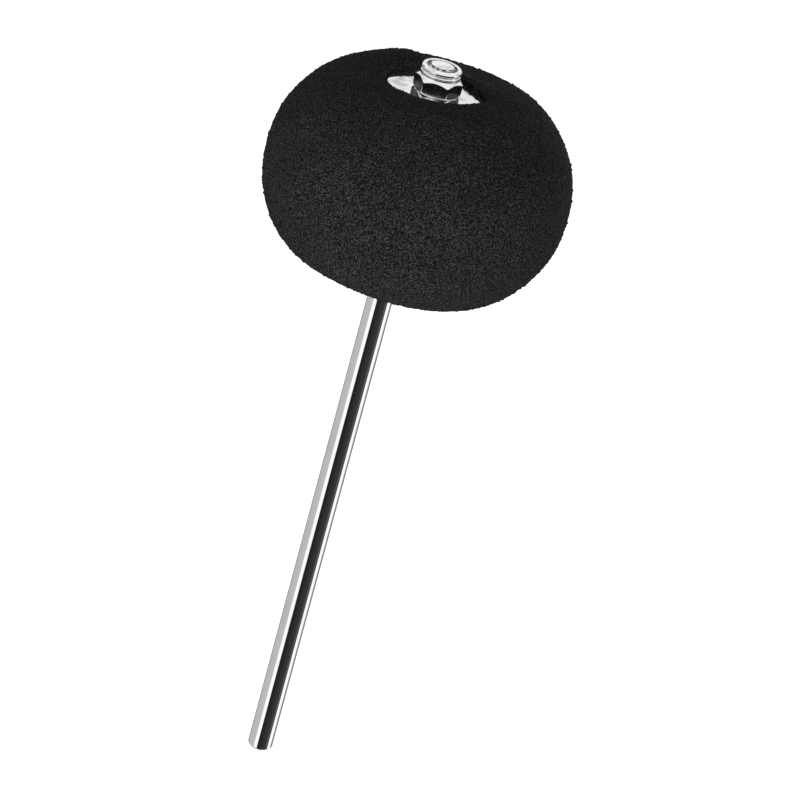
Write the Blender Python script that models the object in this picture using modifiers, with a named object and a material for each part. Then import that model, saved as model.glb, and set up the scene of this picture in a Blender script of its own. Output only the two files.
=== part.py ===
"""Pedal beater with a foam head clamped on a steel shaft between two wide washers.

Metres, +Z along the shaft towards the head. The origin is the centre of the shaft's lower end face.
Each piece is made on its own axis with its lower end, or the head with its middle, at z = 0. It is then
placed in the stack on the shaft.
"""
import math

import bmesh
import bpy

# Shaft: plain at the pedal end and threaded at the head end, where the thread is rolled a little finer
SHAFT_DIAMETER = 0.0080
SHAFT_LENGTH = 0.2416
SHAFT_TIP_CHAMFER = 0.0006
THREAD_RELIEF = 0.0001
THREAD_TIP_CHAMFER = 0.0005
THREAD_PROUD = 0.0002
THREAD_BELOW_NUT = 0.0015
THREAD_RUNOUT = 0.0004

# Foam head: its height is over the two crowns, and each washer seat lies below its crown
HEAD_DIAMETER = 0.0934
HEAD_HEIGHT = 0.0620
HEAD_FULLNESS = 2.2
SEAT_DEPTH = 0.0040
LIP_WIDTH = 0.0020

# Wide washers on both sides of the foam
WASHER_DIAMETER = 0.0300
WASHER_THICKNESS = 0.0015
WASHER_EDGE_RADIUS = 0.0003

# Both nuts: metal from the thread to the middle of a flat makes them 13 mm across flats
NUT_WALL = 0.0026
HEX_CHAMFER_SLOPE = 0.8
NUT_COUNTERSINK = 0.0004
BEARING_FACE_STEP = 0.0004

# Lock nut, from its base up: hexagon, waist, and a collar that is crimped over the locking ring
LOCK_NUT_FLAT_HEIGHT = 0.0045
WAIST_HEIGHT = 0.0011
WAIST_DEPTH = 0.0002
COLLAR_STEP = 0.0003
COLLAR_HEIGHT = 0.0020
COLLAR_WALL = 0.0006
RIM_RADIUS = 0.0008
RIM_LIP_THICKNESS = 0.0004
RIM_LIP_WIDTH = 0.0005
LOCK_NUT_TURN = math.radians(-3.0)

# Locking ring in the collar
INSERT_HEIGHT = 0.0020

# Plain nut under the lower washer
LOWER_NUT_HEIGHT = 0.0065
LOWER_NUT_TURN = math.radians(14.0)

# Gap between neighbouring solids
FIT_GAP = 0.0003

# Facets around the axis, and points along the curved stretches of a profile
ROUND_STEPS = 48
HEAD_STEPS = 64
SIDE_POINTS = 14
LIP_POINTS = 6
ROUNDING_POINTS = 4
MERGE_DISTANCE = 0.000001
SMOOTH_ANGLE = math.radians(30.0)

# Radii that the pieces share
SHAFT_RADIUS = SHAFT_DIAMETER / 2
THREAD_RADIUS = SHAFT_RADIUS - THREAD_RELIEF
HOLE_RADIUS = SHAFT_RADIUS + FIT_GAP
NUT_BORE_RADIUS = THREAD_RADIUS + FIT_GAP
FLAT_RADIUS = THREAD_RADIUS + NUT_WALL
CORNER_RADIUS = FLAT_RADIUS / math.cos(math.radians(30.0))
BLANK_RADIUS = CORNER_RADIUS + FIT_GAP
COLLAR_RADIUS = FLAT_RADIUS - COLLAR_STEP
WAIST_RADIUS = COLLAR_RADIUS - WAIST_DEPTH
POCKET_RADIUS = COLLAR_RADIUS - COLLAR_WALL

# Heights in the lock nut, above its base
WAIST_BASE = LOCK_NUT_FLAT_HEIGHT + (FLAT_RADIUS - WAIST_RADIUS) * HEX_CHAMFER_SLOPE
COLLAR_BASE = WAIST_BASE + WAIST_HEIGHT
LOCK_NUT_HEIGHT = COLLAR_BASE + COLLAR_HEIGHT
LIP_BASE = LOCK_NUT_HEIGHT - RIM_LIP_THICKNESS
POCKET_FLOOR = LIP_BASE - INSERT_HEIGHT - 2 * FIT_GAP

# Heights in the stack, from the shaft's threaded end down
LOCK_NUT_BASE = SHAFT_LENGTH - THREAD_PROUD - LOCK_NUT_HEIGHT
UPPER_WASHER_BASE = LOCK_NUT_BASE - FIT_GAP - WASHER_THICKNESS
UPPER_SEAT = UPPER_WASHER_BASE - FIT_GAP
HEAD_CENTRE = UPPER_SEAT + SEAT_DEPTH - HEAD_HEIGHT / 2
LOWER_SEAT = HEAD_CENTRE - HEAD_HEIGHT / 2 + SEAT_DEPTH
LOWER_WASHER_TOP = LOWER_SEAT - FIT_GAP
LOWER_NUT_BASE = LOWER_WASHER_TOP - WASHER_THICKNESS - FIT_GAP - LOWER_NUT_HEIGHT
THREAD_START = LOWER_NUT_BASE - THREAD_BELOW_NUT


def clear_scene():
    """Remove what the file holds before the part is made."""
    for item in list(bpy.data.objects):
        bpy.data.objects.remove(item, do_unlink=True)


def collection(name):
    """Make a collection in the scene."""
    group = bpy.data.collections.new(name)
    bpy.context.scene.collection.children.link(group)
    return group


def finish(name, colour, roughness, metallic):
    """Make the plain material of one piece."""
    made = bpy.data.materials.new(name)
    made.use_nodes = True
    shader = made.node_tree.nodes["Principled BSDF"]
    shader.inputs["Base Color"].default_value = (*colour, 1.0)
    shader.inputs["Roughness"].default_value = roughness
    shader.inputs["Metallic"].default_value = metallic
    return made


def quarter_round(outer_radius, top, rounding):
    """Points of a rounded outer edge, from the top face round to the side."""
    points = []
    for i in range(ROUNDING_POINTS + 1):
        angle = math.pi / 2 * (1 - i / ROUNDING_POINTS)
        radius = outer_radius - rounding + rounding * math.cos(angle)
        points.append((radius, top - rounding + rounding * math.sin(angle)))
    return points


def cone_height(radius):
    """Height at a radius of the cone that cuts back a nut's corners, taken from the middle of a flat."""
    return (FLAT_RADIUS - radius) * HEX_CHAMFER_SLOPE


def nut_underside():
    """Lower end of a nut: cut-back corners, bearing face and countersunk bore."""
    bearing_radius = FLAT_RADIUS - BEARING_FACE_STEP
    return [
        (BLANK_RADIUS, (BLANK_RADIUS - bearing_radius) * HEX_CHAMFER_SLOPE),
        (bearing_radius, 0.0),
        (NUT_BORE_RADIUS + NUT_COUNTERSINK, 0.0),
        (NUT_BORE_RADIUS, NUT_COUNTERSINK),
    ]


def lock_nut_profile():
    """Lock nut from its crimped rim down the outside, and up the bore into the ring's pocket."""
    rim = quarter_round(COLLAR_RADIUS, LOCK_NUT_HEIGHT, RIM_RADIUS)
    outside = [
        (COLLAR_RADIUS, COLLAR_BASE + WAIST_DEPTH),
        (WAIST_RADIUS, COLLAR_BASE),
        (WAIST_RADIUS, WAIST_BASE),
        (BLANK_RADIUS, LOCK_NUT_FLAT_HEIGHT + cone_height(BLANK_RADIUS)),
    ]
    pocket = [
        (NUT_BORE_RADIUS, POCKET_FLOOR),
        (POCKET_RADIUS, POCKET_FLOOR),
        (POCKET_RADIUS, LIP_BASE),
        (POCKET_RADIUS - RIM_LIP_WIDTH, LIP_BASE),
        (POCKET_RADIUS - RIM_LIP_WIDTH, LOCK_NUT_HEIGHT),
    ]
    return rim + outside + nut_underside() + pocket


def lower_nut_profile():
    """Plain nut, both ends with cut-back corners and a countersunk bore."""
    underside = nut_underside()
    upper_end = [(radius, LOWER_NUT_HEIGHT - height) for radius, height in reversed(underside)]
    return upper_end + underside


def insert_profile():
    """Locking ring, whose outer edge lies under the crimped lip."""
    outer = POCKET_RADIUS - FIT_GAP
    return [(outer, INSERT_HEIGHT), (outer, 0.0), (NUT_BORE_RADIUS, 0.0), (NUT_BORE_RADIUS, INSERT_HEIGHT)]


def washer_profile():
    """Stamped washer, rounded where the die pulled its upper edge over."""
    edge = quarter_round(WASHER_DIAMETER / 2, WASHER_THICKNESS, WASHER_EDGE_RADIUS)
    return edge + [(WASHER_DIAMETER / 2, 0.0), (HOLE_RADIUS, 0.0), (HOLE_RADIUS, WASHER_THICKNESS)]


def shaft_profile():
    """Shaft from its threaded end down to its plain, chamfered end."""
    return [
        (0.0, SHAFT_LENGTH),
        (THREAD_RADIUS - THREAD_TIP_CHAMFER, SHAFT_LENGTH),
        (THREAD_RADIUS, SHAFT_LENGTH - THREAD_TIP_CHAMFER),
        (THREAD_RADIUS, THREAD_START),
        (SHAFT_RADIUS, THREAD_START - THREAD_RUNOUT),
        (SHAFT_RADIUS, SHAFT_TIP_CHAMFER),
        (SHAFT_RADIUS - SHAFT_TIP_CHAMFER, 0.0),
        (0.0, 0.0),
    ]


def head_profile():
    """Foam head from the bore's upper end over the outside to its lower end, symmetric about z = 0.

    The lip is a quarter of an ellipse that climbs from the washer's edge to the crown. The side is a
    superellipse from the crown to the widest point.
    """
    crown_height = HEAD_HEIGHT / 2
    seat_height = crown_height - SEAT_DEPTH
    crown_radius = WASHER_DIAMETER / 2 + FIT_GAP + LIP_WIDTH
    side_width = HEAD_DIAMETER / 2 - crown_radius
    upper = [(HOLE_RADIUS, seat_height)]
    for i in range(LIP_POINTS):
        angle = math.pi / 2 * i / LIP_POINTS
        radius = crown_radius - LIP_WIDTH * math.cos(angle)
        upper.append((radius, seat_height + SEAT_DEPTH * math.sin(angle)))
    for i in range(SIDE_POINTS):
        angle = math.pi / 2 * (1 - i / SIDE_POINTS)
        across = math.cos(angle) ** (2 / HEAD_FULLNESS)
        up = math.sin(angle) ** (2 / HEAD_FULLNESS)
        upper.append((crown_radius + side_width * across, crown_height * up))
    widest = (HEAD_DIAMETER / 2, 0.0)
    lower = [(radius, -height) for radius, height in reversed(upper)]
    return upper + [widest] + lower


def turned(name, profile, steps, group):
    """Turn a profile of (radius, height) points around Z into a new object.

    The profile runs down the outer side. It starts and ends on the axis, or closes along a bore.
    """
    edges = [(i, i + 1) for i in range(len(profile) - 1)]
    if profile[0][0] > 0:
        edges.append((len(profile) - 1, 0))
    mesh = bpy.data.meshes.new(name)
    mesh.from_pydata([(radius, 0.0, height) for radius, height in profile], edges, [])
    piece = bpy.data.objects.new(name, mesh)
    group.objects.link(piece)
    screw = piece.modifiers.new("turn", "SCREW")
    screw.steps = steps
    screw.render_steps = steps
    screw.use_merge_vertices = True
    screw.merge_threshold = MERGE_DISTANCE
    return piece


def cut_hexagon(piece, height, turn, group):
    """Cut a turned nut blank to hexagon bar, with a corner at angle turn from +X."""
    shape = bmesh.new()
    bmesh.ops.create_cone(
        shape, cap_ends=True, segments=6, radius1=CORNER_RADIUS, radius2=CORNER_RADIUS, depth=3 * height)
    mesh = bpy.data.meshes.new(piece.name + "_hexagon")
    shape.to_mesh(mesh)
    shape.free()
    bar = bpy.data.objects.new(mesh.name, mesh)
    bar.rotation_euler.z = turn + math.radians(30.0)
    bar.display_type = "WIRE"
    bar.hide_render = True
    group.objects.link(bar)
    cut = piece.modifiers.new("hexagon", "BOOLEAN")
    cut.operation = "INTERSECT"
    cut.solver = "EXACT"
    cut.object = bar
    return bar


def settle(piece):
    """Keep the modifiers' result as the piece's mesh, smooth between its crisp edges."""
    graph = bpy.context.evaluated_depsgraph_get()
    mesh = bpy.data.meshes.new_from_object(piece.evaluated_get(graph))
    mesh.name = piece.name
    piece.modifiers.clear()
    piece.data = mesh
    mesh.shade_smooth()
    mesh.set_sharp_from_angle(angle=SMOOTH_ANGLE)


def place(piece, height, root, made, flipped=False):
    """Give a piece its material and its place on the shaft, upside down if flipped."""
    settle(piece)
    piece.data.materials.append(made)
    piece.location.z = height
    piece.rotation_euler.x = math.pi if flipped else 0.0
    piece.parent = root


def make_shaft(parts, root):
    """Chromed shaft, plain below and threaded through the head."""
    chrome = finish("polished_chrome", (0.80, 0.80, 0.81), 0.06, 1.0)
    place(turned("beater_shaft", shaft_profile(), ROUND_STEPS, parts), 0.0, root, chrome)


def make_head(parts, root):
    """Foam head, bored for the shaft and dimpled for both washers."""
    foam = finish("black_foam", (0.020, 0.020, 0.021), 0.95, 0.0)
    place(turned("foam_head", head_profile(), HEAD_STEPS, parts), HEAD_CENTRE, root, foam)


def make_washers(parts, root):
    """Washers against both seats of the head, their rounded edges away from the foam."""
    plate = finish("washer_plating", (0.76, 0.76, 0.75), 0.18, 1.0)
    upper = turned("upper_washer", washer_profile(), ROUND_STEPS, parts)
    place(upper, UPPER_WASHER_BASE, root, plate)
    lower = turned("lower_washer", washer_profile(), ROUND_STEPS, parts)
    place(lower, LOWER_WASHER_TOP, root, plate, flipped=True)


def make_nuts(parts, cutters, root):
    """Lock nut on the upper washer, and plain nut at the end of the thread under the lower one."""
    plate = finish("nut_plating", (0.72, 0.72, 0.71), 0.20, 1.0)
    lock_nut = turned("lock_nut", lock_nut_profile(), ROUND_STEPS, parts)
    lock_bar = cut_hexagon(lock_nut, LOCK_NUT_HEIGHT, LOCK_NUT_TURN, cutters)
    place(lock_nut, LOCK_NUT_BASE, root, plate)
    lock_bar.parent = lock_nut
    lower_nut = turned("lower_nut", lower_nut_profile(), ROUND_STEPS, parts)
    lower_bar = cut_hexagon(lower_nut, LOWER_NUT_HEIGHT, LOWER_NUT_TURN, cutters)
    place(lower_nut, LOWER_NUT_BASE, root, plate)
    lower_bar.parent = lower_nut


def make_insert(parts, root):
    """Locking ring inside the lock nut's collar."""
    nylon = finish("natural_nylon", (0.80, 0.80, 0.78), 0.40, 0.0)
    ring = turned("nylon_insert", insert_profile(), ROUND_STEPS, parts)
    place(ring, LOCK_NUT_BASE + POCKET_FLOOR + FIT_GAP, root, nylon)


def main():
    """Build every piece around an empty at the shaft's lower end."""
    clear_scene()
    parts = collection("pedal_beater")
    cutters = collection("cutters")
    root = bpy.data.objects.new("shaft_lower_end", None)
    parts.objects.link(root)
    make_shaft(parts, root)
    make_head(parts, root)
    make_washers(parts, root)
    make_nuts(parts, cutters, root)
    make_insert(parts, root)


main()
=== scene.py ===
"""Looks of a cajon's pedal beater: a black foam head clamped on a chromed shaft by washers and nuts."""
import logging
import math
from abc import ABC, abstractmethod
from dataclasses import dataclass, field
from enum import Enum

import bmesh
import bpy
import numpy as np
from mathutils import Matrix, Vector, noise


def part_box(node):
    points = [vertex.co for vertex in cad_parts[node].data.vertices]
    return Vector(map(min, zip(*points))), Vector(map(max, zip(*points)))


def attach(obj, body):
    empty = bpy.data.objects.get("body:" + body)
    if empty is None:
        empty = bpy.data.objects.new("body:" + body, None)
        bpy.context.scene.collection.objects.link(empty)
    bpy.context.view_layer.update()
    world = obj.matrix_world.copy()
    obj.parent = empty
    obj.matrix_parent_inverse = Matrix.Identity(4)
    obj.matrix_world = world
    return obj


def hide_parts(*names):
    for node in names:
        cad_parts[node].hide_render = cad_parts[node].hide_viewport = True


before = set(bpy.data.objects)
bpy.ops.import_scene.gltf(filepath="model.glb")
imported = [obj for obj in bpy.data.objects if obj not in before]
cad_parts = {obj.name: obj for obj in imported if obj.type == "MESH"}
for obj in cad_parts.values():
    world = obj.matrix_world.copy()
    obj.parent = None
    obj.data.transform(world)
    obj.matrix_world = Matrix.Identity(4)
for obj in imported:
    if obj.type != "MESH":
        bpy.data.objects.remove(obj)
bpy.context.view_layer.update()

LOG = logging.getLogger("pedal_beater")
BODY = "root"
MM = 0.001
FULL_TURN = 2 * math.pi
# Bulge of a quarter circle: the tangent of a quarter of its sweep
QUARTER_ROUND = math.tan(math.radians(22.5))
# Pieces that press on each other meet with this much air
CONTACT = 0.01 * MM
CREASE = math.radians(38.0)
# Finer layers of a random grain: a soft grain and a sharp one
SOFT_DETAIL = 2.0
SHARP_DETAIL = 3.0

Colour = tuple[float, float, float, float]
# Rows of a turn in degrees and a brightness
Panorama = tuple[tuple[float, float], ...]


class Signal:
    """A number on a shader socket. Python's operators on it add Math nodes."""

    def __init__(self, bench: "NodeBench", socket: bpy.types.NodeSocket) -> None:
        """Wrap a socket.

        Args:
            bench: the bench of the tree that holds the socket.
            socket: an output that carries a number.
        """
        self.bench = bench
        self.socket = socket

    def __add__(self, other: "Signal | float") -> "Signal":
        """Sum with a signal or a number."""
        return self.bench.maths("ADD", self, other)

    def __radd__(self, other: float) -> "Signal":
        """Sum with a number on the left."""
        return self.bench.maths("ADD", other, self)

    def __sub__(self, other: "Signal | float") -> "Signal":
        """Difference from a signal or a number."""
        return self.bench.maths("SUBTRACT", self, other)

    def __rsub__(self, other: float) -> "Signal":
        """Difference of a number on the left from this signal."""
        return self.bench.maths("SUBTRACT", other, self)

    def __mul__(self, other: "Signal | float") -> "Signal":
        """Product with a signal or a number."""
        return self.bench.maths("MULTIPLY", self, other)

    def __rmul__(self, other: float) -> "Signal":
        """Product with a number on the left."""
        return self.bench.maths("MULTIPLY", other, self)

    def __truediv__(self, other: "Signal | float") -> "Signal":
        """Quotient by a signal or a number."""
        return self.bench.maths("DIVIDE", self, other)

    def __rtruediv__(self, other: float) -> "Signal":
        """Quotient of a number on the left by this signal."""
        return self.bench.maths("DIVIDE", other, self)

    def step(self, low: float, high: float) -> "Signal":
        """Rise smoothly from 0 to 1.

        Args:
            low: the value at which the result is 0.
            high: the value at which the result is 1.

        Returns:
            The smooth step as a signal.
        """
        made = self.bench.node(
            "ShaderNodeMapRange",
            {"interpolation_type": "SMOOTHSTEP"},
            {"Value": self, "From Min": low, "From Max": high},
        )
        return Signal(self.bench, made.outputs["Result"])


class NodeBench:
    """Adds nodes to one tree and links them."""

    def __init__(self, tree: bpy.types.NodeTree) -> None:
        """Start work on a tree of nodes."""
        self.tree = tree

    def node(self, kind: str, settings: dict | None = None, sockets: dict | None = None) -> bpy.types.Node:
        """Add a node.

        Args:
            kind: the node's type, such as ShaderNodeBump.
            settings: the node's own properties, set first; "stops" holds a ramp's (place, colour) pairs.
            sockets: values or links of its inputs, by name or number.

        Returns:
            The new node.
        """
        made = self.tree.nodes.new(kind)
        for name, value in (settings or {}).items():
            if name == "stops":
                self.set_stops(made.color_ramp, value)
            else:
                setattr(made, name, value)
        for key, value in (sockets or {}).items():
            self.feed(made.inputs[key], value)
        return made

    def feed(self, socket: bpy.types.NodeSocket, value: object) -> None:
        """Link a signal or an output to an input, or set the input's value.

        Args:
            socket: the input.
            value: a signal, an output or a plain value.
        """
        if isinstance(value, Signal):
            value = value.socket
        if isinstance(value, bpy.types.NodeSocket):
            self.tree.links.new(value, socket)
        else:
            socket.default_value = value

    @staticmethod
    def set_stops(ramp: bpy.types.ColorRamp, stops: tuple) -> None:
        """Give a colour ramp its stops.

        Args:
            ramp: a new ramp.
            stops: two or more (place, colour) pairs in rising order.
        """
        while len(ramp.elements) < len(stops):
            ramp.elements.new(1.0)
        for element, (place, colour) in zip(ramp.elements, stops):
            element.position = place
            element.color = colour

    def maths(self, operation: str, first: Signal | float, second: Signal | float) -> Signal:
        """Add a Math node on two values."""
        made = self.node("ShaderNodeMath", {"operation": operation}, {0: first, 1: second})
        return Signal(self, made.outputs["Value"])

    def mix(self, mask: Signal, first: object, second: object) -> bpy.types.NodeSocket:
        """Blend two colours.

        Args:
            mask: 0 for the first colour and 1 for the second.
            first: a colour or a colour output.
            second: a colour or a colour output.

        Returns:
            The blended colour's output.
        """
        made = self.node("ShaderNodeMix", {"data_type": "RGBA"}, {0: mask, 6: first, 7: second})
        return made.outputs[2]

    def place(self) -> bpy.types.NodeSocket:
        """The point on the piece, in metres from the shaft's lower end."""
        return self.node("ShaderNodeTexCoord").outputs["Object"]

    def stretched(self, vector: bpy.types.NodeSocket, by: tuple[float, float, float]) -> bpy.types.NodeSocket:
        """Multiply a vector by three numbers."""
        made = self.node("ShaderNodeVectorMath", {"operation": "MULTIPLY"}, {0: vector, 1: by})
        return made.outputs["Vector"]

    def axis_distance(self) -> Signal:
        """Measure how far the point is from the shaft's axis.

        Returns:
            The distance in metres.
        """
        across = self.stretched(self.place(), (1.0, 1.0, 0.0))
        made = self.node("ShaderNodeVectorMath", {"operation": "LENGTH"}, {0: across})
        return Signal(self, made.outputs["Value"])

    def grain(self, vector: bpy.types.NodeSocket, size: float, detail: float = SOFT_DETAIL) -> Signal:
        """Soft random grain.

        Args:
            vector: the coordinates that it follows.
            size: the width of a grain in metres.
            detail: how many finer layers it has.

        Returns:
            A signal about 0.5.
        """
        sockets = {"Vector": vector, "Scale": 1.0 / size, "Detail": detail}
        return Signal(self, self.node("ShaderNodeTexNoise", None, sockets).outputs["Fac"])

    def cells(self, vector: bpy.types.NodeSocket, size: float) -> Signal:
        """Distance to the middle of the nearest of many random cells, 0 at its middle."""
        sockets = {"Vector": vector, "Scale": 1.0 / size}
        return Signal(self, self.node("ShaderNodeTexVoronoi", None, sockets).outputs["Distance"])

    def rings(self, size: float) -> Signal:
        """Random rings about the shaft's axis.

        Args:
            size: about how wide a ring is, in metres.

        Returns:
            A signal about 0.5.
        """
        sockets = {"W": self.axis_distance(), "Scale": 1.0 / size, "Detail": SOFT_DETAIL}
        made = self.node("ShaderNodeTexNoise", {"noise_dimensions": "1D"}, sockets)
        return Signal(self, made.outputs["Fac"])

    def relief(self, height: Signal, depth: float, strength: float = 1.0) -> bpy.types.NodeSocket:
        """Normals of a fine relief.

        Args:
            height: the relief, from 0 to 1.
            depth: how deep it is in metres.
            strength: how much of it shows, from 0 to 1.

        Returns:
            The normal's output.
        """
        sockets = {"Height": height, "Distance": depth, "Strength": strength}
        return self.node("ShaderNodeBump", None, sockets).outputs["Normal"]


def grey(level: float) -> Colour:
    """A neutral colour."""
    return (level, level, level, 1.0)


class Finish(ABC):
    """A surface finish that makes its own material."""

    name: str

    def material(self) -> bpy.types.Material:
        """Make the finish's material.

        Returns:
            The new material.
        """
        made = bpy.data.materials.new(self.name)
        made.use_nodes = True
        bench = NodeBench(made.node_tree)
        self.dress(bench, made.node_tree.nodes["Principled BSDF"])
        return made

    @abstractmethod
    def dress(self, bench: NodeBench, shader: bpy.types.Node) -> None:
        """Set the shader's sockets.

        Args:
            bench: the bench of the material's tree.
            shader: the material's own shader.
        """


@dataclass(frozen=True)
class Chrome(Finish):
    """Polished chrome on drawn rod."""

    name: str = "polished_chrome"
    colour: Colour = (0.90, 0.90, 0.91, 1.0)
    clouded: Colour = (0.84, 0.84, 0.85, 1.0)
    polish: float = 0.035
    smear: float = 0.05
    smear_size: float = 14 * MM
    smear_range: tuple[float, float] = (0.48, 0.72)
    line_width: float = 0.12 * MM
    line_depth: float = 0.0004 * MM
    # Squeezes the grain's coordinates along Z, which draws it out into lines along the rod
    line_squeeze: tuple[float, float, float] = (1.0, 1.0, 0.01)

    def dress(self, bench: NodeBench, shader: bpy.types.Node) -> None:
        """Mirror polish with faint wiping marks and drawing lines along the rod.

        Args:
            bench: the bench of the material's tree.
            shader: the material's own shader.
        """
        place = bench.place()
        smears = bench.grain(place, self.smear_size).step(*self.smear_range)
        lines = bench.grain(bench.stretched(place, self.line_squeeze), self.line_width)
        shader.inputs["Metallic"].default_value = 1.0
        bench.feed(shader.inputs["Base Color"], bench.mix(smears, self.colour, self.clouded))
        bench.feed(shader.inputs["Roughness"], self.polish + smears * self.smear)
        bench.feed(shader.inputs["Normal"], bench.relief(lines, self.line_depth))


class Marks(Enum):
    """What the making left on a plated piece."""

    TURNED = "turned"
    PRESSED = "pressed"


@dataclass(frozen=True)
class BrightPlate(Finish):
    """Bright plating on pressed or turned steel."""

    name: str
    marks: Marks
    colour: Colour
    dulled: Colour
    polish: float
    wear: float
    mark_size: float
    mark_depth: float
    patch_size: float = 3.5 * MM
    patch_range: tuple[float, float] = (0.42, 0.68)

    def dress(self, bench: NodeBench, shader: bpy.types.Node) -> None:
        """Bright metal with clouded patches and the marks of its making.

        Args:
            bench: the bench of the material's tree.
            shader: the material's own shader.
        """
        place = bench.place()
        patches = bench.grain(place, self.patch_size, SHARP_DETAIL).step(*self.patch_range)
        if self.marks is Marks.TURNED:
            marks = bench.rings(self.mark_size)
        else:
            marks = bench.grain(place, self.mark_size, SHARP_DETAIL)
        shader.inputs["Metallic"].default_value = 1.0
        bench.feed(shader.inputs["Base Color"], bench.mix(patches, self.colour, self.dulled))
        bench.feed(shader.inputs["Roughness"], self.polish + patches * self.wear)
        bench.feed(shader.inputs["Normal"], bench.relief(marks, self.mark_depth))


@dataclass(frozen=True)
class RolledThread(Finish):
    """Rolled thread, bright on its crests, with painted shade in its roots and random dark grime."""

    name: str = "rolled_thread"
    # The crest colour is the steel's own grey; the root colour is painted shade in the thread's roots and
    # also random dark grime
    crest: Colour = (0.74, 0.74, 0.73, 1.0)
    root: Colour = (0.04, 0.039, 0.037, 1.0)
    root_radius: float = 3.35 * MM
    crest_radius: float = 3.85 * MM
    root_roughness: float = 0.42
    crest_polish: float = 0.20
    dirt_size: float = 1.0 * MM
    dirt_range: tuple[float, float] = (0.40, 0.60)
    dirt_share: float = 0.70
    dirt_depth: float = 0.01 * MM
    dirt_strength: float = 0.6

    def dress(self, bench: NodeBench, shader: bpy.types.Node) -> None:
        """Grey steel with painted shade towards the thread's roots, and random dark grime.

        Args:
            bench: the bench of the material's tree.
            shader: the material's own shader.
        """
        # Painted shade: the colour darkens from the crests into the thread's roots
        height = bench.axis_distance().step(self.root_radius, self.crest_radius)
        dirt = bench.grain(bench.place(), self.dirt_size, SHARP_DETAIL)
        unshaded_and_clean = height * (1.0 - self.dirt_share) + dirt.step(*self.dirt_range) * self.dirt_share
        shader.inputs["Metallic"].default_value = 1.0
        bench.feed(shader.inputs["Base Color"], bench.mix(unshaded_and_clean, self.root, self.crest))
        bench.feed(shader.inputs["Roughness"], self.root_roughness - unshaded_and_clean * self.crest_polish)
        bench.feed(shader.inputs["Normal"], bench.relief(dirt, self.dirt_depth, self.dirt_strength))


@dataclass(frozen=True)
class Nylon(Finish):
    """Natural nylon, milky and softly glossy."""

    name: str = "natural_nylon"
    pale: Colour = (0.84, 0.84, 0.81, 1.0)
    milky: Colour = (0.74, 0.74, 0.70, 1.0)
    roughness: float = 0.34
    roughness_change: float = 0.16
    flow_size: float = 1.2 * MM
    flow_range: tuple[float, float] = (0.35, 0.65)
    flow_depth: float = 0.03 * MM
    flow_strength: float = 0.5

    def dress(self, bench: NodeBench, shader: bpy.types.Node) -> None:
        """Milky plastic with flow marks from the mould.

        Args:
            bench: the bench of the material's tree.
            shader: the material's own shader.
        """
        flow = bench.grain(bench.place(), self.flow_size, SHARP_DETAIL)
        colour = bench.mix(flow.step(*self.flow_range), self.pale, self.milky)
        bench.feed(shader.inputs["Base Color"], colour)
        bench.feed(shader.inputs["Roughness"], self.roughness + flow * self.roughness_change)
        bench.feed(shader.inputs["Normal"], bench.relief(flow, self.flow_depth, self.flow_strength))


@dataclass(frozen=True)
class GroundFoam(Finish):
    """Black closed-cell foam whose skin was ground away, so that its cut cells show."""

    name: str = "black_foam"
    # The darkest colour is painted shade in the cells' hollows, the middle one the foam's own near-black, and
    # the palest a painted highlight on the cut cell walls
    pit_shade: Colour = (0.003, 0.003, 0.0035, 1.0)
    body: Colour = (0.011, 0.011, 0.0115, 1.0)
    wall_highlight: Colour = (0.074, 0.074, 0.075, 1.0)
    sheen: float = 0.10
    roughness: float = 0.80
    roughness_change: float = 0.18
    cell_size: float = 0.68 * MM
    cell_range: tuple[float, float] = (0.40, 0.75)
    grain_size: float = 0.41 * MM
    grain_range: tuple[float, float] = (0.47, 0.62)
    cloud_size: float = 16 * MM
    cloud_range: tuple[float, float] = (0.30, 0.70)
    cloud_share: float = 0.20
    # How much of the relief is grain, the rest being cells, and how deep and how strong it is
    grain_share: float = 0.6
    relief_depth: float = 0.16 * MM
    relief_strength: float = 0.7

    def dress(self, bench: NodeBench, shader: bpy.types.Node) -> None:
        """Painted shade in the cells' pits, painted highlights on the cut cell walls, and slow random changes
        of tone.

        Args:
            bench: the bench of the material's tree.
            shader: the material's own shader.
        """
        place = bench.place()
        grain = bench.grain(place, self.grain_size, SHARP_DETAIL)
        walls = bench.cells(place, self.cell_size).step(*self.cell_range)
        clouds = bench.grain(place, self.cloud_size).step(*self.cloud_range)
        # Painted highlights on the cut cell walls, in fine random specks whose strength changes slowly
        lit = grain.step(*self.grain_range) * (1.0 - self.cloud_share + clouds * self.cloud_share)
        # The foam's own near-black, with painted shade in the middles of the cells' pits
        body = bench.mix(walls, self.pit_shade, self.body)
        height = grain * self.grain_share + walls * (1.0 - self.grain_share)
        shader.inputs["Specular IOR Level"].default_value = self.sheen
        bench.feed(shader.inputs["Base Color"], bench.mix(lit, body, self.wall_highlight))
        bench.feed(shader.inputs["Roughness"], self.roughness + grain * self.roughness_change)
        bench.feed(shader.inputs["Normal"], bench.relief(height, self.relief_depth, self.relief_strength))


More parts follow.
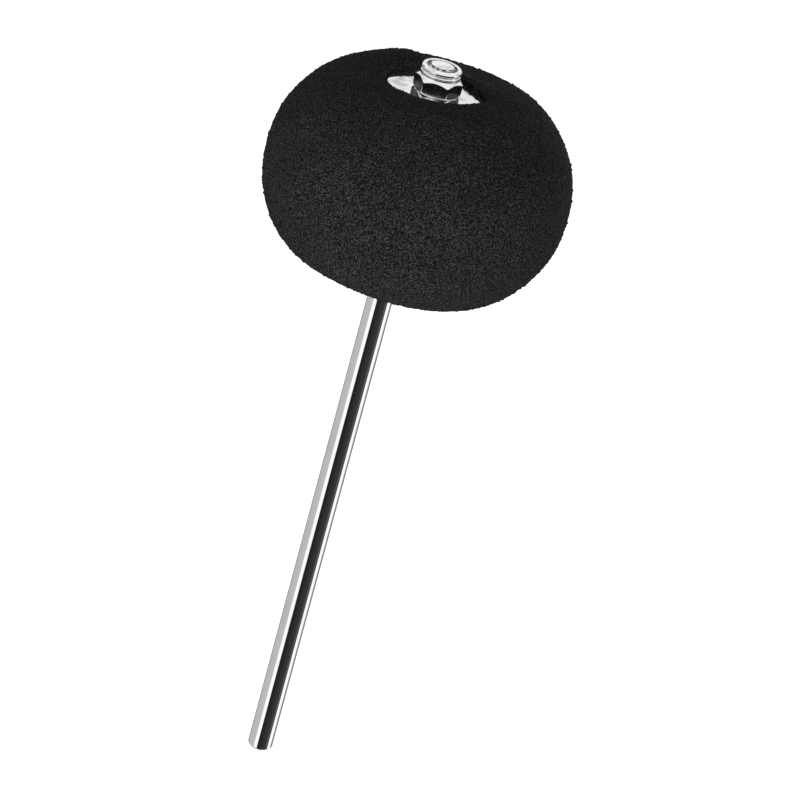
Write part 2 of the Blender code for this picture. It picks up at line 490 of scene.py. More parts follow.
@dataclass(frozen=True)
class PaleFloor(Finish):
    """White floor paint that keeps a shadow."""

    name: str = "pale_floor"
    shade: float = 0.86
    mottle_size: float = 0.5
    mottle_depth: float = 0.02
    roughness: float = 0.85
    roughness_change: float = 0.1
    camera_lift: float = 0.88

    def dress(self, bench: NodeBench, shader: bpy.types.Node) -> None:
        """Matte white, lifted to the background's white where the camera sees it.

        Args:
            bench: the bench of the material's tree.
            shader: the material's own shader.
        """
        rays = bench.node("ShaderNodeLightPath").outputs
        seen = Signal(bench, rays["Is Camera Ray"]) + Signal(bench, rays["Is Transmission Ray"])
        mottle = bench.grain(bench.place(), self.mottle_size)
        pale = bench.mix(mottle, grey(self.shade), grey(self.shade * (1.0 - self.mottle_depth)))
        shader.inputs["Emission Strength"].default_value = 1.0
        bench.feed(shader.inputs["Base Color"], pale)
        bench.feed(shader.inputs["Roughness"], self.roughness + mottle * self.roughness_change)
        bench.feed(shader.inputs["Emission Color"], bench.mix(seen, grey(0.0), grey(self.camera_lift)))


WASHER_PLATE = BrightPlate(
    name="washer_plating",
    marks=Marks.TURNED,
    colour=(0.82, 0.82, 0.81, 1.0),
    dulled=(0.48, 0.48, 0.47, 1.0),
    polish=0.05,
    wear=0.06,
    mark_size=0.25 * MM,
    mark_depth=0.002 * MM,
)
CUT_END = BrightPlate(
    name="cut_end",
    marks=Marks.TURNED,
    colour=(0.88, 0.88, 0.87, 1.0),
    dulled=(0.62, 0.62, 0.61, 1.0),
    polish=0.16,
    wear=0.14,
    mark_size=0.30 * MM,
    mark_depth=0.012 * MM,
)
NUT_PLATE = BrightPlate(
    name="nut_plating",
    marks=Marks.PRESSED,
    colour=(0.88, 0.88, 0.87, 1.0),
    dulled=(0.72, 0.72, 0.71, 1.0),
    polish=0.07,
    wear=0.09,
    mark_size=0.8 * MM,
    mark_depth=0.004 * MM,
)


@dataclass
class Profile:
    """Outline of a turned piece in (radius, height), run down its outer side."""

    points: list[tuple[float, float]]
    arc_step: float = 0.10 * MM
    fewest_steps: int = 4
    support: float = 0.05 * MM

    def line(self, radius: float, height: float, step: float | None = None) -> "Profile":
        """Run straight on, with a supporting point close to either end.

        Args:
            radius: where the stretch ends.
            height: where the stretch ends.
            step: the greatest distance between its points, if it needs any between.

        Returns:
            This profile.
        """
        start = Vector(self.points[-1])
        run = Vector((radius, height)) - start
        inset = min(self.support, run.length / 3)
        count = max(1, math.ceil((run.length - 2 * inset) / step)) if step else 1
        first = inset / run.length
        shares = [first + (1 - 2 * first) * i / count for i in range(count + 1)] + [1.0]
        self.points += [tuple(start + run * share) for share in shares]
        return self

    def arc(self, radius: float, height: float, bulge: float) -> "Profile":
        """Run on along an arc of a circle.

        Args:
            radius: where the arc ends.
            height: where the arc ends.
            bulge: the tangent of a quarter of its sweep, above 0 where it swells out of the piece.

        Returns:
            This profile.
        """
        start = Vector(self.points[-1])
        chord = Vector((radius, height)) - start
        sweep = 4 * math.atan(bulge)
        bend = chord.length / (2 * math.sin(sweep / 2))
        along = chord.normalized()
        outward = Vector((-along.y, along.x))
        middle = start + chord / 2
        count = max(self.fewest_steps, math.ceil(abs(bend * sweep) / self.arc_step))
        for i in range(1, count + 1):
            angle = sweep * (i / count - 0.5)
            rise = bend * (math.cos(angle) - math.cos(sweep / 2))
            self.points.append(tuple(middle + along * (bend * math.sin(angle)) + outward * rise))
        return self

    def flipped(self) -> "Profile":
        """The same outline upside down about height 0, still run down its outer side."""
        return Profile([(radius, -height) for radius, height in reversed(self.points)])


@dataclass
class Turning:
    """Rings of points about the shaft's axis, from the top of a piece to its bottom."""

    points: np.ndarray
    closed: bool

    @classmethod
    def of(cls, outline: np.ndarray, segments: int, closed: bool = True) -> "Turning":
        """Turn an outline about the axis.

        Args:
            outline: an array of (radius, height) rows.
            segments: how many points a ring has.
            closed: True if the last ring joins the first along a bore.

        Returns:
            The turned rings.
        """
        angles = cls.angles(segments)
        radii = outline[:, :1]
        heights = np.repeat(outline[:, 1:], segments, axis=1)
        return cls(np.stack([radii * np.cos(angles), radii * np.sin(angles), heights], axis=-1), closed)

    @staticmethod
    def angles(segments: int) -> np.ndarray:
        """Angles of a ring's points from +X."""
        return np.arange(segments) * FULL_TURN / segments

    def limit(self, reach: np.ndarray, blend: float) -> None:
        """Cut the rings back to a reach.

        Args:
            reach: the greatest radius at each point of a ring, or of every ring.
            blend: how wide the rounded edge of the cut is.
        """
        radii = np.hypot(self.points[..., 0], self.points[..., 1])
        share = soft_min(radii, reach, blend) / np.maximum(radii, CONTACT)
        self.points[..., 0] *= share
        self.points[..., 1] *= share

    def build(self, name: str, crease: float | None = CREASE) -> bpy.types.Object:
        """Make the mesh.

        Args:
            name: the piece's name.
            crease: the angle past which an edge stays crisp, or None for a soft piece.

        Returns:
            The new object, linked to the scene.
        """
        rings, segments, _ = self.points.shape
        index = np.arange(rings * segments).reshape(rings, segments)
        upper = index if self.closed else index[:-1]
        lower = np.roll(index, -1, axis=0) if self.closed else index[1:]
        corners = [upper, lower, np.roll(lower, -1, axis=1), np.roll(upper, -1, axis=1)]
        faces = np.stack(corners, axis=-1).reshape(-1, 4).tolist()
        if not self.closed:
            faces += [index[0].tolist(), index[-1][::-1].tolist()]
        mesh = bpy.data.meshes.new(name)
        mesh.from_pydata(self.points.reshape(-1, 3).tolist(), [], faces)
        mesh.shade_smooth()
        if crease is not None:
            mesh.set_sharp_from_angle(angle=crease)
        piece = bpy.data.objects.new(name, mesh)
        bpy.context.scene.collection.objects.link(piece)
        return piece


def soft_min(first: np.ndarray, second: np.ndarray | float, blend: float) -> np.ndarray:
    """The smaller of two lengths, rounded where they are closer than blend."""
    share = np.clip(0.5 + 0.5 * (second - first) / blend, 0.0, 1.0)
    return second + (first - second) * share - blend * share * (1.0 - share)


def smooth_step(values: np.ndarray, low: float, high: float) -> np.ndarray:
    """Rise smoothly from 0 at low to 1 at high."""
    share = np.clip((values - low) / (high - low), 0.0, 1.0)
    return share * share * (3.0 - 2.0 * share)


def evenly(curve: np.ndarray, step: float) -> np.ndarray:
    """Points at even distances along a curve.

    Args:
        curve: close points along the curve.
        step: the distance wanted, which is shortened to fit.

    Returns:
        The new points, with both ends.
    """
    lengths = np.concatenate([[0.0], np.cumsum(np.hypot(*np.diff(curve, axis=0).T))])
    count = math.ceil(lengths[-1] / step)
    wanted = np.linspace(0.0, lengths[-1], count + 1)
    return np.stack([np.interp(wanted, lengths, curve[:, i]) for i in range(2)], axis=-1)


class SubAssembly(ABC):
    """Some pieces of the beater that belong together."""

    @abstractmethod
    def build(self) -> list[bpy.types.Object]:
        """Make, dress and seat the pieces.

        Returns:
            The new pieces.
        """

    @staticmethod
    def seat(piece: bpy.types.Object, node: str, slot: str, *finishes: Finish) -> bpy.types.Object:
        """Dress a piece and let it stand for its solid.

        Args:
            piece: the new piece, in place.
            node: the solid that it stands for.
            slot: a material slot's name; not used.
            finishes: one finish for each material of the piece.

        Returns:
            The piece.
        """
        for finish in finishes:
            piece.data.materials.append(finish.material())
        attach(piece, BODY)
        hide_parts(node)
        return piece


@dataclass
class Shaft(SubAssembly):
    """Chromed shaft, plain and chamfered below and threaded at the head."""

    segments: int = 192
    tip_chamfer: float = 0.6 * MM
    tip_rounding: float = 0.18 * MM
    thread_relief: float = 0.1 * MM
    thread_below_nut: float = 1.5 * MM
    thread_runout: float = 0.4 * MM
    thread_depth: float = 0.76 * MM
    thread_phase: float = 0.47
    pitch: float = 1.25 * MM
    crest_share: float = 0.14
    flank_share: float = 0.62
    end_chamfer: float = 0.38 * MM
    end_rounding: float = 0.03 * MM
    end_view: float = 2.2 * MM
    nut_cover: float = 0.6 * MM
    ring_step: float = 0.06 * MM
    tip_rings: int = 25

    def rings(self, top: float, nut_base: float, thread_start: float) -> np.ndarray:
        """Heights of the shaft's rings, close together only where the thread and the tip show.

        Args:
            top: the shaft's upper end.
            nut_base: the lower nut's underside.
            thread_start: where the thread begins below that nut.

        Returns:
            The heights from the top down.
        """
        end = np.arange(top, top - self.end_view, -self.ring_step)
        runout = thread_start - self.thread_runout
        below = np.arange(nut_base + self.nut_cover, runout - self.ring_step, -self.ring_step)
        tip = np.linspace(2 * self.tip_chamfer, 0.0, self.tip_rings)
        return np.concatenate([end, below, tip])

    def thread(self, angles: np.ndarray, heights: np.ndarray) -> np.ndarray:
        """Depth of the right-hand thread.

        Args:
            angles: the angles of a ring's points from +X.
            heights: the heights of the rings.

        Returns:
            The depth at each point of each ring, 0 on the thread's crest and 1 in its root.
        """
        turns = heights[:, None] / self.pitch - angles[None, :] / FULL_TURN + self.thread_phase
        flank = np.abs(2 * (turns % 1.0) - 1.0)
        return np.clip((flank - self.crest_share) / self.flank_share, 0.0, 1.0)

    def build(self) -> list[bpy.types.Object]:
        """Turn the shaft and cut its thread where it shows.

        Returns:
            The shaft, in a list.
        """
        _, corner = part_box("beater_shaft")
        nut_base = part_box("lower_nut")[0].z
        thread_start = nut_base - self.thread_below_nut
        heights = self.rings(corner.z, nut_base, thread_start)
        angles = Turning.angles(self.segments)
        shank = smooth_step(heights, thread_start - self.thread_runout, thread_start)
        cover = corner.x - shank * self.thread_relief
        shown = smooth_step(heights, thread_start - self.thread_runout, thread_start + self.pitch)
        radii = cover[:, None] - self.thread_depth * shown[:, None] * self.thread(angles, heights)
        end = corner.x - self.thread_relief - self.end_chamfer + (corner.z - heights)
        tip = corner.x - self.tip_chamfer + heights
        radii = soft_min(radii, end[:, None], self.end_rounding)
        radii = soft_min(radii, tip[:, None], self.tip_rounding)
        turning = Turning.of(np.stack([np.ones_like(heights), heights], axis=-1), self.segments, False)
        turning.points[..., 0] *= radii
        turning.points[..., 1] *= radii
        piece = turning.build("chromed_shaft")
        self.seat(piece, "beater_shaft", "polished_chrome", Chrome(), RolledThread(), CUT_END)
        for face in piece.data.polygons:
            threaded = face.center.z > thread_start - self.thread_runout
            face.material_index = int(threaded) + int(face.center.z > corner.z - CONTACT)
        return [piece]


@dataclass
class FoamHead(SubAssembly):
    """Foam head, turned and then ground by hand, so that it isn't quite even."""

    segments: int = 480
    step: float = 0.57 * MM
    fullness: float = 2.2
    lip_width: float = 2.0 * MM
    fit_gap: float = 0.3 * MM
    # Points along the lip and the side, before they are spread evenly
    lip_points: int = 60
    side_points: int = 900
    # The seat under the washer: a point close to the bore, and two as shares of the washer's radius
    seat_inset: float = 0.1 * MM
    seat_shares: tuple[float, float] = (0.6, 0.95)
    # How far the middle of the side stands off the shaft's axis, and from which radius out it does
    off_centre: float = 1.57 * MM
    shifted_from: float = 24 * MM
    # Azimuth in degrees round the head, and how far its lip and its shoulder stand above their mean there
    crown_rise: tuple[tuple[float, float, float], ...] = (
        (-180.0, -0.1 * MM, 0.1 * MM),
        (-140.0, -0.1 * MM, 0.0 * MM),
        (-118.0, 0.7 * MM, 0.7 * MM),
        (-80.0, 1.6 * MM, 1.6 * MM),
        (-48.0, 2.2 * MM, 2.2 * MM),
        (0.0, 0.2 * MM, 0.2 * MM),
        (42.0, 0.1 * MM, -1.3 * MM),
        (64.0, -0.2 * MM, -3.1 * MM),
        (80.0, -0.4 * MM, -2.7 * MM),
        (94.0, 0.0 * MM, -1.0 * MM),
        (107.0, 0.5 * MM, -0.5 * MM),
        (122.0, 1.0 * MM, 1.3 * MM),
        (142.0, 0.8 * MM, 0.9 * MM),
        (180.0, -0.1 * MM, 0.1 * MM),
    )
    shoulder_blend: float = 7.0 * MM
    # Where the foam bulges in over the washer's edge: how far, in which azimuth, and how wide round
    overhang: float = 2.5 * MM
    overhang_turn: float = math.radians(45.0)
    overhang_spread: float = math.radians(45.0)
    lump_spread: float = math.radians(16.0)
    # Azimuth and elevation of each lump or hollow in degrees, and how far it stands out
    lumps: tuple[tuple[float, float, float], ...] = (
        (46.0, 56.0, 0.42 * MM),
        (20.0, 34.0, -0.28 * MM),
        (-165.0, -26.0, -0.18 * MM),
        (-50.0, -60.0, 0.15 * MM),
        (-17.0, -32.0, -0.40 * MM),
        (-110.0, -64.0, -0.73 * MM),
        (163.0, 31.0, -0.38 * MM),
    )
    # From which share of the head's radius out its surface is fully rough
    rough_from: float = 0.36
    grain_depth: float = 0.14 * MM
    grain_size: float = 1.2 * MM
    pit_depth: float = 0.22 * MM
    pit_size: float = 1.6 * MM
    pit_reach: float = 0.45
    fuzz: float = 0.080 * MM
    crumb_share: float = 0.03
    crumb_heights: tuple[float, float] = (0.15 * MM, 0.42 * MM)
    seed: int = 7

    def half_outline(self, radius: float, crown: float, seat: float) -> np.ndarray:
        """Outline above the middle: seat under the washer, lip, crown and side.

        Args:
            radius: the head's greatest radius.
            crown: height of the crown above the middle.
            seat: height of the washer's seat above the middle.

        Returns:
            Rows of (radius, height) from the bore to the widest point.
        """
        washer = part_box("upper_washer")[1].x
        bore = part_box("beater_shaft")[1].x + self.fit_gap
        foot = washer + self.fit_gap
        crown_radius = foot + self.lip_width
        angles = np.linspace(0.0, math.pi / 2, self.lip_points)
        lip = np.stack([
            crown_radius - self.lip_width * np.cos(angles),
            seat + (crown - seat) * np.sin(angles),
        ], axis=-1)
        angles = np.linspace(math.pi / 2, 0.0, self.side_points)[1:]
        side = np.stack([
            crown_radius + (radius - crown_radius) * np.cos(angles) ** (2 / self.fullness),
            crown * np.sin(angles) ** (2 / self.fullness),
        ], axis=-1)
        side[-1] = (radius, 0.0)
        hidden = [(bore, seat), (bore + self.seat_inset, seat)]
        hidden += [(washer * share, seat) for share in self.seat_shares]
        return np.concatenate([hidden, evenly(np.concatenate([lip, side]), self.step)])

    def relief(self, points: np.ndarray) -> np.ndarray:
        """Fine relief of the ground foam: soft grain, cut cells, fuzz and a few loose crumbs.

        Args:
            points: the points of the turned head.

        Returns:
            How far each point stands out.
        """
        chance = np.random.default_rng(self.seed)
        depths = []
        for point in points.reshape(-1, 3).tolist():
            place = Vector(point)
            grain = noise.noise(place / self.grain_size)
            near = noise.voronoi(place / self.pit_size)[0][0]
            depths.append(self.grain_depth * grain - self.pit_depth * max(0.0, self.pit_reach - near))
        count = len(depths)
        fuzz = self.fuzz * chance.standard_normal(count)
        crumbs = (chance.random(count) < self.crumb_share) * chance.uniform(*self.crumb_heights, count)
        return (np.array(depths) + fuzz + crumbs).reshape(points.shape[:2])

    def uneven(self, normals: np.ndarray) -> np.ndarray:
        """How far the lumps and hollows of hand grinding stand out.

        Args:
            normals: the way the surface faces at each point.

        Returns:
            The amount at each point.
        """
        total = np.zeros(normals.shape[:2])
        for azimuth, elevation, amount in self.lumps:
            level = math.cos(math.radians(elevation))
            way = np.array([
                level * math.cos(math.radians(azimuth)),
                level * math.sin(math.radians(azimuth)),
                math.sin(math.radians(elevation)),
            ])
            angle = np.arccos(np.clip(normals @ way, -1.0, 1.0))
            total += amount * np.exp(-(angle / self.lump_spread) ** 2)
        return total

    def rise(self, angles: np.ndarray, outward: np.ndarray) -> np.ndarray:
        """Height of the crown above its mean, eased from one named azimuth to the next.

        Args:
            angles: the angles of a ring's points from +X.
            outward: a column with 0 for each ring on the lip and 1 for each on the shoulder.

        Returns:
            The height at each point of each ring.
        """
        turns = np.degrees((angles + math.pi) % FULL_TURN - math.pi)
        total = np.zeros((len(outward), len(angles)))
        stretches = zip(self.crown_rise, self.crown_rise[1:])
        for (start, lip, shoulder), (end, next_lip, next_shoulder) in stretches:
            here = (turns >= start) & (turns < end)
            eased = smooth_step(turns[here], start, end)
            inner = lip + (next_lip - lip) * eased
            outer = shoulder + (next_shoulder - shoulder) * eased
            total[:, here] = inner + (outer - inner) * outward
        return total

    def facing(self, outline: np.ndarray, angles: np.ndarray) -> np.ndarray:
        """The way that the surface of the turned head faces.

        Args:
            outline: rows of (radius, height) from the top to the bottom.
            angles: the angles of a ring's points from +X.

        Returns:
            A unit vector for each point of each ring.
        """
        tangent = np.gradient(outline, axis=0)
        tangent /= np.hypot(*tangent.T)[:, None]
        across = -tangent[:, 1:]
        return np.stack([
            across * np.cos(angles),
            across * np.sin(angles),
            np.repeat(tangent[:, :1], self.segments, axis=1),
        ], axis=-1)

    def build(self) -> list[bpy.types.Object]:
        """Turn the head, shift and swell it as it was ground, and roughen it.

        Returns:
            The head, in a list.
        """
        low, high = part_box("foam_head")
        washer_low, washer_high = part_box("upper_washer")
        centre = (low.z + high.z) / 2
        crown = high.z - centre
        seat = washer_low.z - CONTACT - centre
        foot = washer_high.x + self.fit_gap
        crown_radius = foot + self.lip_width
        upper = self.half_outline(high.x, crown, seat)
        outline = np.concatenate([upper, upper[-2::-1] * (1.0, -1.0)])
        radius, height = outline[:, :1], outline[:, 1:]
        turning = Turning.of(outline, self.segments)
        angles = turning.angles(self.segments)
        normals = self.facing(outline, angles)
        shown = smooth_step(radius, washer_high.x + self.fit_gap / 2, high.x * self.rough_from)
        outward = smooth_step(radius, crown_radius, crown_radius + self.shoulder_blend)
        lifted = np.clip((height - seat) / (crown - seat), 0.0, 1.0) * self.rise(angles, outward)
        amount = self.uneven(normals) + self.relief(turning.points)
        turning.points += normals * (amount * shown)[..., None]
        turning.points[..., 0] += self.off_centre * smooth_step(radius, foot, self.shifted_from)
        turning.points[..., 2] += centre + lifted
        above = smooth_step(height, washer_high.z + self.fit_gap - centre, crown)
        away = (angles - self.overhang_turn + math.pi) % FULL_TURN - math.pi
        inward = self.overhang * above * (1.0 - outward) * np.exp(-(away / self.overhang_spread) ** 2)
        turning.points[..., 0] -= inward * np.cos(angles)
        turning.points[..., 1] -= inward * np.sin(angles)
        piece = self.seat(turning.build("ground_foam_head", None), "foam_head", "black_foam", GroundFoam())
        return [piece]


class Side(Enum):
    """Which way a washer's rounded edge faces."""

    UP = "upper"
    DOWN = "lower"


@dataclass
class Washers(SubAssembly):
    """Wide washers on both sides of the foam."""

    segments: int = 240
    bore_gap: float = 0.3 * MM
    die_roll: float = 0.3 * MM
    burr: float = 0.06 * MM

    def washer(self, side: Side) -> bpy.types.Object:
        """Turn one washer, its rounded edge away from the foam.

        Args:
            side: the side of the foam that it lies on.

        Returns:
            The dressed washer.
        """
        node = side.value + "_washer"
        low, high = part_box(node)
        thickness = high.z - low.z
        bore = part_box("beater_shaft")[1].x + self.bore_gap
        rim = high.x
        outline = Profile([(bore, thickness - self.burr)]).arc(bore + self.burr, thickness, QUARTER_ROUND)
        outline.line(rim - self.die_roll, thickness)
        outline.arc(rim, thickness - self.die_roll, QUARTER_ROUND)
        outline.line(rim, self.burr)
        outline.arc(rim - self.burr, 0.0, QUARTER_ROUND)
        outline.line(bore + self.burr, 0.0)
        outline.arc(bore, self.burr, QUARTER_ROUND)
        rows = np.array(outline.points if side is Side.UP else outline.flipped().points)
        rows[:, 1] += low.z if side is Side.UP else high.z
        turning = Turning.of(rows, self.segments)
        return self.seat(turning.build(side.value + "_pressed_washer"), node, "washer_plating", WASHER_PLATE)

    def build(self) -> list[bpy.types.Object]:
        """Make both washers."""
        return [self.washer(side) for side in Side]


@dataclass
class HexagonBar:
    """Hexagon bar of which a nut is cut."""

    flat_radius: float
    turn: float
    corner_cut: float = 0.05 * MM
    corner_rounding: float = 0.25 * MM

    def reach(self, angles: np.ndarray) -> np.ndarray:
        """Distance from the axis to the bar's surface, its corners a little rounded.

        Args:
            angles: the angles of a ring's points from +X.

        Returns:
            The distance at each of them.
        """
        sixth = math.pi / 3
        from_flat = (angles - self.turn) % sixth - sixth / 2
        corner = self.flat_radius / math.cos(sixth / 2)
        return soft_min(self.flat_radius / np.cos(from_flat), corner - self.corner_cut, self.corner_rounding)


@dataclass
class Nut(SubAssembly):
    """What both nuts share: a hexagon with cut-back corners, and a bore over the thread."""

    segments: int = 360
    flat_radius: float = 6.5 * MM
    blank_radius: float = 7.8 * MM
    cone_slope: float = 0.8
    cone_step: float = 0.07 * MM
    bearing_radius: float = 6.35 * MM
    bore_radius: float = 4.2 * MM
    countersink: float = 0.4 * MM
    edge_blend: float = 0.14 * MM

    def end_down(self, outline: Profile, base: float) -> None:
        """Finish an outline with a nut's lower end, from the blank's side to the bore.

        Args:
            outline: the outline down to the blank's side.
            base: height of the bearing face.
        """
        outline.line(self.blank_radius, base + (self.blank_radius - self.bearing_radius) * self.cone_slope)
        outline.line(self.bearing_radius, base, self.cone_step)
        outline.line(self.bore_radius + self.countersink, base)
        outline.line(self.bore_radius, base + self.countersink)

    def cut(self, outline: Profile, height: float, turn: float, name: str) -> bpy.types.Object:
        """Turn a blank and cut its hexagon.

        Args:
            outline: the blank's outline above the nut's base.
            height: where the base lies.
            turn: angle of a corner from +X.
            name: the new piece's name.

        Returns:
            The new piece.
        """
        rows = np.array(outline.points)
        rows[:, 1] += height
        turning = Turning.of(rows, self.segments)
        bar = HexagonBar(self.flat_radius, turn)
        turning.limit(bar.reach(Turning.angles(self.segments)), self.edge_blend)
        return turning.build(name)


@dataclass
class LockNut(Nut):
    """Lock nut: hexagon, a collar in two beads, and a nylon ring under its crimped rim."""

    turn: float = math.radians(-3.0)
    flat_height: float = 4.5 * MM
    collar_radius: float = 6.2 * MM
    groove_radius: float = 5.92 * MM
    rim_rounding: float = 0.75 * MM
    lip_edge: float = 0.15 * MM
    lip_radius: float = 4.7 * MM
    lip_base: float = 7.6 * MM
    pocket_radius: float = 5.6 * MM
    pocket_floor: float = 5.0 * MM
    upper_groove: float = 6.45 * MM
    lower_groove: float = 5.15 * MM
    groove_width: float = 0.36 * MM
    upper_bead: float = 0.35
    groove_hollow: float = -0.7
    lower_bead: float = 0.5
    foot_hollow: float = -0.3
    arc_step: float = 0.07 * MM
    ring_rounding: float = 0.25 * MM
    ring_clearance: float = 0.12 * MM
    # The thread chews the ring's inner edge: bites round the ring, and how deep they are
    chew_waves: float = 4.0
    chew_depth: float = 0.30 * MM

    def outline(self, top: float, base: float) -> Profile:
        """Outline of the metal, from the crimped lip down the outside and up the bore.

        Args:
            top: height of the rim.
            base: height of the bearing face.

        Returns:
            The outline.
        """
        collar, groove = self.collar_radius, self.groove_radius
        outline = Profile([(self.lip_radius, top - self.lip_edge)], arc_step=self.arc_step)
        outline.arc(self.lip_radius + self.lip_edge, top, QUARTER_ROUND)
        outline.line(collar - self.rim_rounding, top)
        outline.arc(collar, top - self.rim_rounding, QUARTER_ROUND)
        outline.arc(groove, self.upper_groove + self.groove_width / 2, self.upper_bead)
        outline.arc(groove, self.upper_groove - self.groove_width / 2, self.groove_hollow)
        outline.arc(groove, self.lower_groove + self.groove_width / 2, self.lower_bead)
        cone = self.flat_height + (self.flat_radius - collar) * self.cone_slope
        outline.arc(collar, cone, self.foot_hollow)
        blank = self.flat_height + (self.flat_radius - self.blank_radius) * self.cone_slope
        outline.line(self.blank_radius, blank, self.cone_step)
        self.end_down(outline, base)
        outline.line(self.bore_radius, self.pocket_floor)
        outline.line(self.pocket_radius, self.pocket_floor)
        outline.line(self.pocket_radius, self.lip_base)
        outline.line(self.lip_radius, self.lip_base)
        return outline

    def ring(self) -> bpy.types.Object:
        """Make the nylon ring, its upper inner edge rolled over and chewed by the thread.

        Returns:
            The dressed ring.
        """
        low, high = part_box("nylon_insert")
        outer, top = high.x, high.z - low.z
        inner = self.bore_radius - self.ring_clearance
        outline = Profile([(inner, top - 2 * self.ring_rounding)])
        outline.arc(inner + 2 * self.ring_rounding, top, QUARTER_ROUND)
        outline.line(outer - self.ring_rounding, top)
        outline.arc(outer, top - self.ring_rounding, QUARTER_ROUND)
        outline.line(outer, 0.0)
        outline.line(inner, 0.0)
        rows = np.array(outline.points)
        rows[:, 1] += low.z
        turning = Turning.of(rows, self.segments // 2)
        chewed = [
            noise.noise(Vector((math.cos(angle), math.sin(angle), 0.0)) * self.chew_waves) * self.chew_depth
            for angle in turning.angles(self.segments // 2)
        ]
        edge = smooth_step(-rows[:, :1], -inner - 2 * self.ring_rounding, -inner)
        share = 1.0 + np.array(chewed) / inner * edge
        turning.points[..., :2] *= share[..., None]
        return self.seat(turning.build("nylon_ring"), "nylon_insert", "natural_nylon", Nylon())

    def build(self) -> list[bpy.types.Object]:
        """Make the nut and its ring.

        Returns:
            The metal and the ring.
        """
        low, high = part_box("lock_nut")
        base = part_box("upper_washer")[1].z + CONTACT - low.z
        outline = self.outline(high.z - low.z, base)
        nut = self.cut(outline, low.z, self.turn, "lock_nut_metal")
        return [self.seat(nut, "lock_nut", "nut_plating", NUT_PLATE), self.ring()]


@dataclass
class PlainNut(Nut):
    """Plain nut under the lower washer."""

    turn: float = math.radians(14.0)

    def build(self) -> list[bpy.types.Object]:
        """Make the nut, both ends alike.

        Returns:
            The nut, in a list.
        """
        low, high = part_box("lower_nut")
        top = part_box("lower_washer")[0].z - CONTACT - low.z
        outline = Profile([(self.bore_radius, top - self.countersink)])
        outline.line(self.bore_radius + self.countersink, top)
        outline.line(self.bearing_radius, top)
        shoulder = top - (self.blank_radius - self.bearing_radius) * self.cone_slope
        outline.line(self.blank_radius, shoulder, self.cone_step)
        self.end_down(outline, 0.0)
        nut = self.cut(outline, low.z, self.turn, "plain_nut_metal")
        return [self.seat(nut, "lower_nut", "nut_plating", NUT_PLATE)]


@dataclass(frozen=True)
class SoftBox:
    """A square lamp with a diffusing front."""

    name: str
    place: tuple[float, float, float]
    width: float
    power: float

    def light(self, aim: Vector) -> bpy.types.Object:
        """Hang the lamp and turn it towards a point.

        Args:
            aim: the point.

        Returns:
            The new lamp.
        """
        lamp = bpy.data.lights.new(self.name, "AREA")
        lamp.shape = "SQUARE"
        lamp.size = self.width
        lamp.energy = self.power
        made = bpy.data.objects.new(self.name, lamp)
        made.location = self.place
        made.rotation_euler = (aim - Vector(self.place)).to_track_quat("-Z", "Y").to_euler()
        made.visible_glossy = False
        bpy.context.scene.collection.objects.link(made)
        return made


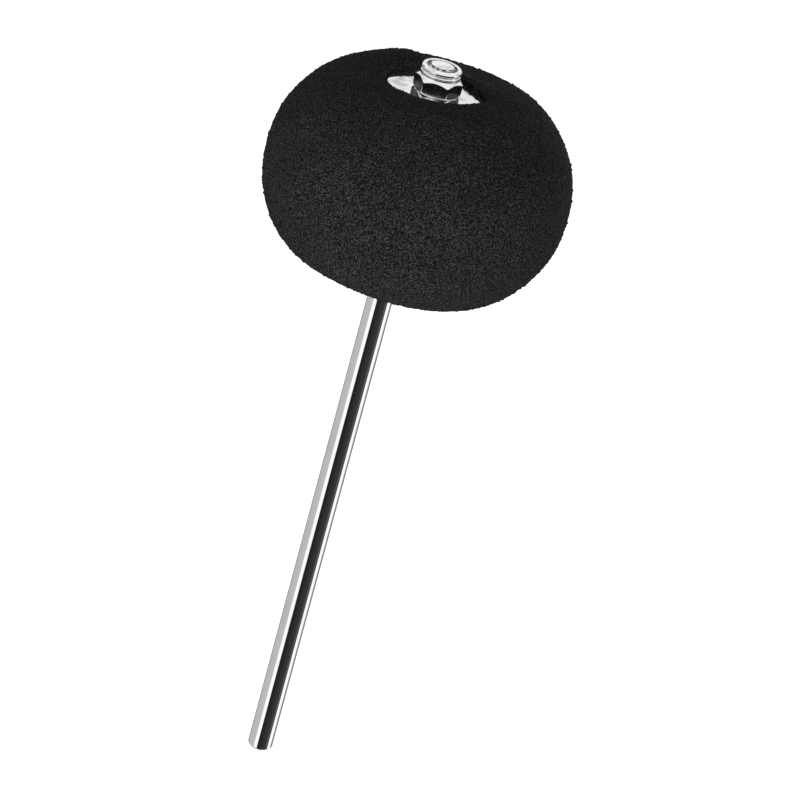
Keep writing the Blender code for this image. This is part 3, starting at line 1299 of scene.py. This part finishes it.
@dataclass
class Studio:
    """White studio: floor, surround, lamps and camera."""

    aim: Vector = field(default_factory=lambda: Vector((14.10, 0.0, 131.96)) * MM)
    distance: float = 1.23276
    tilt: float = math.radians(25.528)
    lean: float = math.radians(15.4)
    lens: float = 180.0
    sensor: float = 36.0
    farthest_seen: float = 50.0
    floor_drop: float = 0.35
    floor_radius: float = 6.0
    floor_segments: int = 96
    soft_level: float = 0.30
    soft_overhead: float = 0.14
    overhead_level: float = 0.95
    # How steeply a direction points up, as its Z: where the surround gives way to the flags, and where
    # these give way to the light overhead
    horizon_fade: tuple[float, float] = (0.06, 0.24)
    flag_tops: tuple[float, float] = (0.40, 0.46)
    lamps: tuple[SoftBox, ...] = (
        SoftBox("key_softbox", (-0.15, -1.38, 0.24), 0.6, 13.0),
        SoftBox("back_softbox", (0.90, 1.20, 0.30), 0.9, 10.0),
    )
    # What metal sees around it, from behind and round by the left, front and right: turn in degrees from
    # the front towards +X, and brightness
    surround: Panorama = (
        (-180.0, 0.20),
        (-172.0, 0.05),
        (-152.0, 0.05),
        (-144.0, 0.50),
        (-54.0, 0.56),
        (-50.0, 1.10),
        (-23.0, 1.10),
        (-19.0, 0.012),
        (20.0, 0.03),
        (60.0, 0.045),
        (65.0, 0.15),
        (72.0, 0.05),
        (79.0, 0.04),
        (84.0, 1.10),
        (116.0, 1.05),
        (124.0, 0.22),
        (160.0, 0.28),
        (180.0, 0.20),
    )
    # The same just above the horizon, where dark flags stand left and right behind the beater
    flags: Panorama = (
        (-180.0, 0.95),
        (-135.0, 0.95),
        (-131.0, 0.05),
        (-112.0, 0.05),
        (-107.0, 0.95),
        (99.0, 0.95),
        (104.0, 0.05),
        (126.0, 0.05),
        (131.0, 0.95),
        (180.0, 0.95),
    )

    def floor(self) -> bpy.types.Object:
        """Lay the floor well below the shaft's end.

        Returns:
            The new floor.
        """
        shape = bmesh.new()
        bmesh.ops.create_circle(shape, cap_ends=True, segments=self.floor_segments, radius=self.floor_radius)
        mesh = bpy.data.meshes.new("studio_floor")
        shape.to_mesh(mesh)
        shape.free()
        made = bpy.data.objects.new("studio_floor", mesh)
        made.location.z = -self.floor_drop
        made.visible_glossy = False
        made.data.materials.append(PaleFloor().material())
        bpy.context.scene.collection.objects.link(made)
        return made

    @staticmethod
    def panorama(bench: NodeBench, around: Signal, table: Panorama) -> bpy.types.NodeSocket:
        """Brightness all round the beater.

        Args:
            bench: the bench of the world's tree.
            around: the way round, from 0 to 1 with the front at 0.5.
            table: rows of degrees from the front towards +X, and brightness.

        Returns:
            The brightness as a colour output.
        """
        stops = tuple((angle / 360.0 + 0.5, grey(level)) for angle, level in table)
        return bench.node("ShaderNodeValToRGB", {"stops": stops}, {"Fac": around}).outputs["Color"]

    def world(self) -> bpy.types.World:
        """Surround that is white to the camera, pale with dark screens to metal, and soft light to the rest.

        Returns:
            The scene's new world.
        """
        made = bpy.data.worlds.new("studio_surround")
        made.use_nodes = True
        made.cycles.sampling_method = "NONE"
        bench = NodeBench(made.node_tree)
        way = bench.node("ShaderNodeTexCoord").outputs["Generated"]
        parts = bench.node("ShaderNodeSeparateXYZ", None, {"Vector": way}).outputs
        turn = bench.maths("ARCTAN2", Signal(bench, parts["X"]), 0.0 - Signal(bench, parts["Y"]))
        around = turn / FULL_TURN + 0.5
        overhead = Signal(bench, parts["Z"]).step(*self.horizon_fade)
        above_flags = Signal(bench, parts["Z"]).step(*self.flag_tops)
        high = bench.mix(above_flags, self.panorama(bench, around, self.flags), grey(self.overhead_level))
        seen_by_metal = bench.mix(overhead, self.panorama(bench, around, self.surround), high)
        soft = bench.mix(overhead, grey(self.soft_level), grey(self.soft_overhead))
        rays = bench.node("ShaderNodeLightPath").outputs
        lit = bench.mix(Signal(bench, rays["Is Glossy Ray"]), soft, seen_by_metal)
        straight = Signal(bench, rays["Is Camera Ray"]) + Signal(bench, rays["Is Transmission Ray"])
        background = made.node_tree.nodes["Background"]
        bench.feed(background.inputs["Color"], bench.mix(straight, lit, grey(1.0)))
        bpy.context.scene.world = made
        return made

    def camera(self) -> bpy.types.Object:
        """Set the camera where the photograph was taken from.

        Returns:
            The scene's new camera.
        """
        forward = Vector((0.0, math.cos(self.tilt), -math.sin(self.tilt)))
        side = Vector((1.0, 0.0, 0.0))
        above = side.cross(forward)
        right = side * math.cos(self.lean) + above * math.sin(self.lean)
        up = above * math.cos(self.lean) - side * math.sin(self.lean)
        turn = Matrix((right, up, -forward)).transposed().to_4x4()
        lens = bpy.data.cameras.new("photo_camera")
        lens.lens = self.lens
        lens.sensor_width = self.sensor
        lens.clip_end = self.farthest_seen
        made = bpy.data.objects.new("photo_camera", lens)
        made.matrix_world = Matrix.Translation(self.aim - forward * self.distance) @ turn
        bpy.context.scene.collection.objects.link(made)
        bpy.context.scene.camera = made
        return made

    def build(self) -> None:
        """Set up the whole studio."""
        bpy.context.scene.view_settings.view_transform = "Standard"
        self.floor()
        self.world()
        self.camera()
        for lamp in self.lamps:
            lamp.light(self.aim)


def main() -> None:
    """Build the beater and its studio."""
    logging.basicConfig(level=logging.INFO, format="%(name)s: %(message)s")
    for assembly in (Shaft(), FoamHead(), Washers(), LockNut(), PlainNut()):
        for piece in assembly.build():
            LOG.info("%s of %s has %d faces", piece.name, type(assembly).__name__, len(piece.data.polygons))
    Studio().build()


if __name__ == "__main__":
    main()
